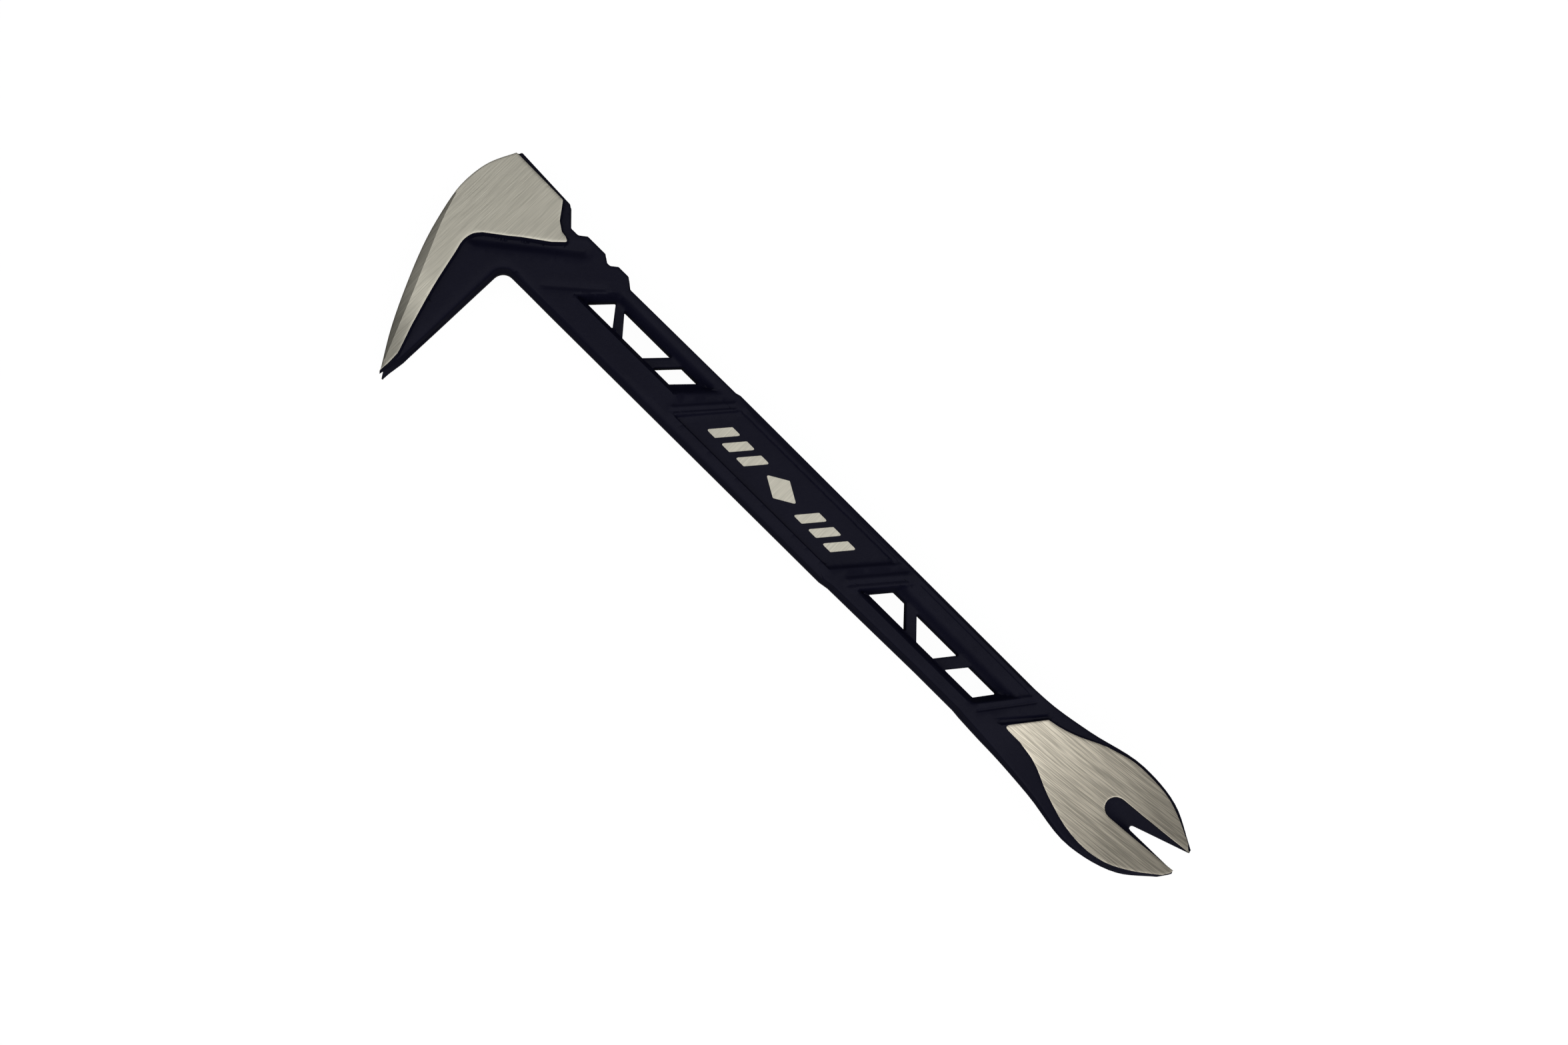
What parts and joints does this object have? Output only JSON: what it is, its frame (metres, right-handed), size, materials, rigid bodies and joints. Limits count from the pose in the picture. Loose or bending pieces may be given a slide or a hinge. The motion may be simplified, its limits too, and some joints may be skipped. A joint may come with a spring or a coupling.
{
  "type": "claw nail puller",
  "caption": "Forged steel nail puller bar: hooked V-slot claw under a flat striking face, windowed I-beam shank, and a flared, curled tail claw with a countersunk nail slot.",
  "frame": {"origin": "under the middle of the bounding box, on the surface that the tool lies on", "axes": "+X along the shank from the head to the tail claw, the hooked claw points to -Y, +Z is the thickness of the forging, out of the side that carries the tail's ground face"},
  "size_m": [0.3048, 0.0804, 0.0302],
  "materials": {
    "black_coat": "satin black powder coat with a faint blue cast and a fine orange-peel texture",
    "ground_steel": "bare steel ground flat, with a coarse brushed grain: across the shank on the head, along it on the tail"
  },
  "bodies": {
    "root": {"head_core": "black_coat", "strike_face": "black_coat", "head_ground_face_front": "ground_steel", "head_ground_face_back": "ground_steel", "claw_tine_front": "black_coat", "claw_tine_back": "black_coat", "neck": "black_coat", "lower_rail": "black_coat", "upper_rail": "black_coat", "web_bay_head": "black_coat", "diagonal_rib_head": "black_coat", "grip_panel": "black_coat", "diagonal_rib_tail": "black_coat", "web_bay_tail": "black_coat", "tail_neck": "black_coat", "tail_blade": "black_coat", "tail_tine_lower": "black_coat", "tail_tine_upper": "black_coat", "tail_ground_face": "ground_steel"}
  },
  "joints": []
}
